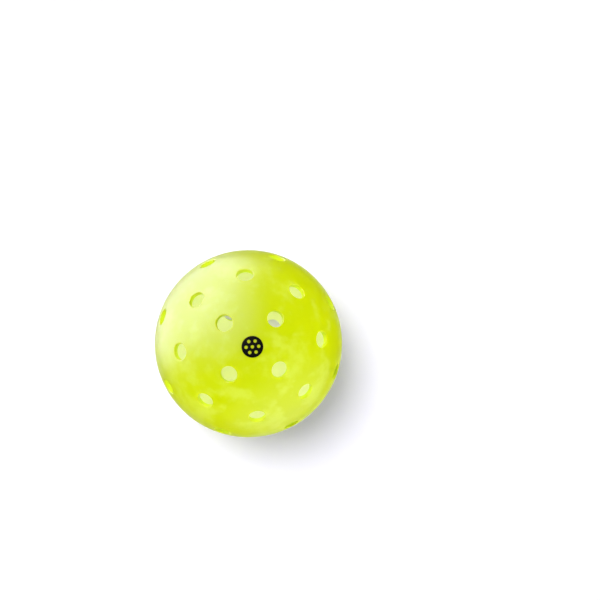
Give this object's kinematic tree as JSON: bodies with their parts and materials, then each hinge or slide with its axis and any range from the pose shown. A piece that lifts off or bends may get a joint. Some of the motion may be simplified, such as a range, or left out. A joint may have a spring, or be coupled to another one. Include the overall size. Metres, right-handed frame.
{
  "type": "pickleball ball",
  "caption": "Hollow perforated plastic ball welded from two half shells, with a small printed mark at one pole.",
  "frame": {"origin": "centre of the ball, in the middle of the plane where the two half shells are welded", "axes": "+Z from the centre through the printed mark at the pole; the weld plane is XY; +X through a hole of the printed half's middle ring"},
  "size_m": [0.074, 0.074, 0.074],
  "materials": {
    "shell_plastic": "satin neon yellow-green, slightly cloudy and translucent moulded plastic",
    "weld_plastic": "the shells' own plastic, melted and set again, glossier and a little uneven",
    "mark_ink": "thin black pad-printing ink"
  },
  "bodies": {
    "root": {"printed_half_shell": "shell_plastic", "plain_half_shell": "shell_plastic", "weld_bead": "weld_plastic", "printed_mark": "mark_ink"}
  },
  "joints": []
}
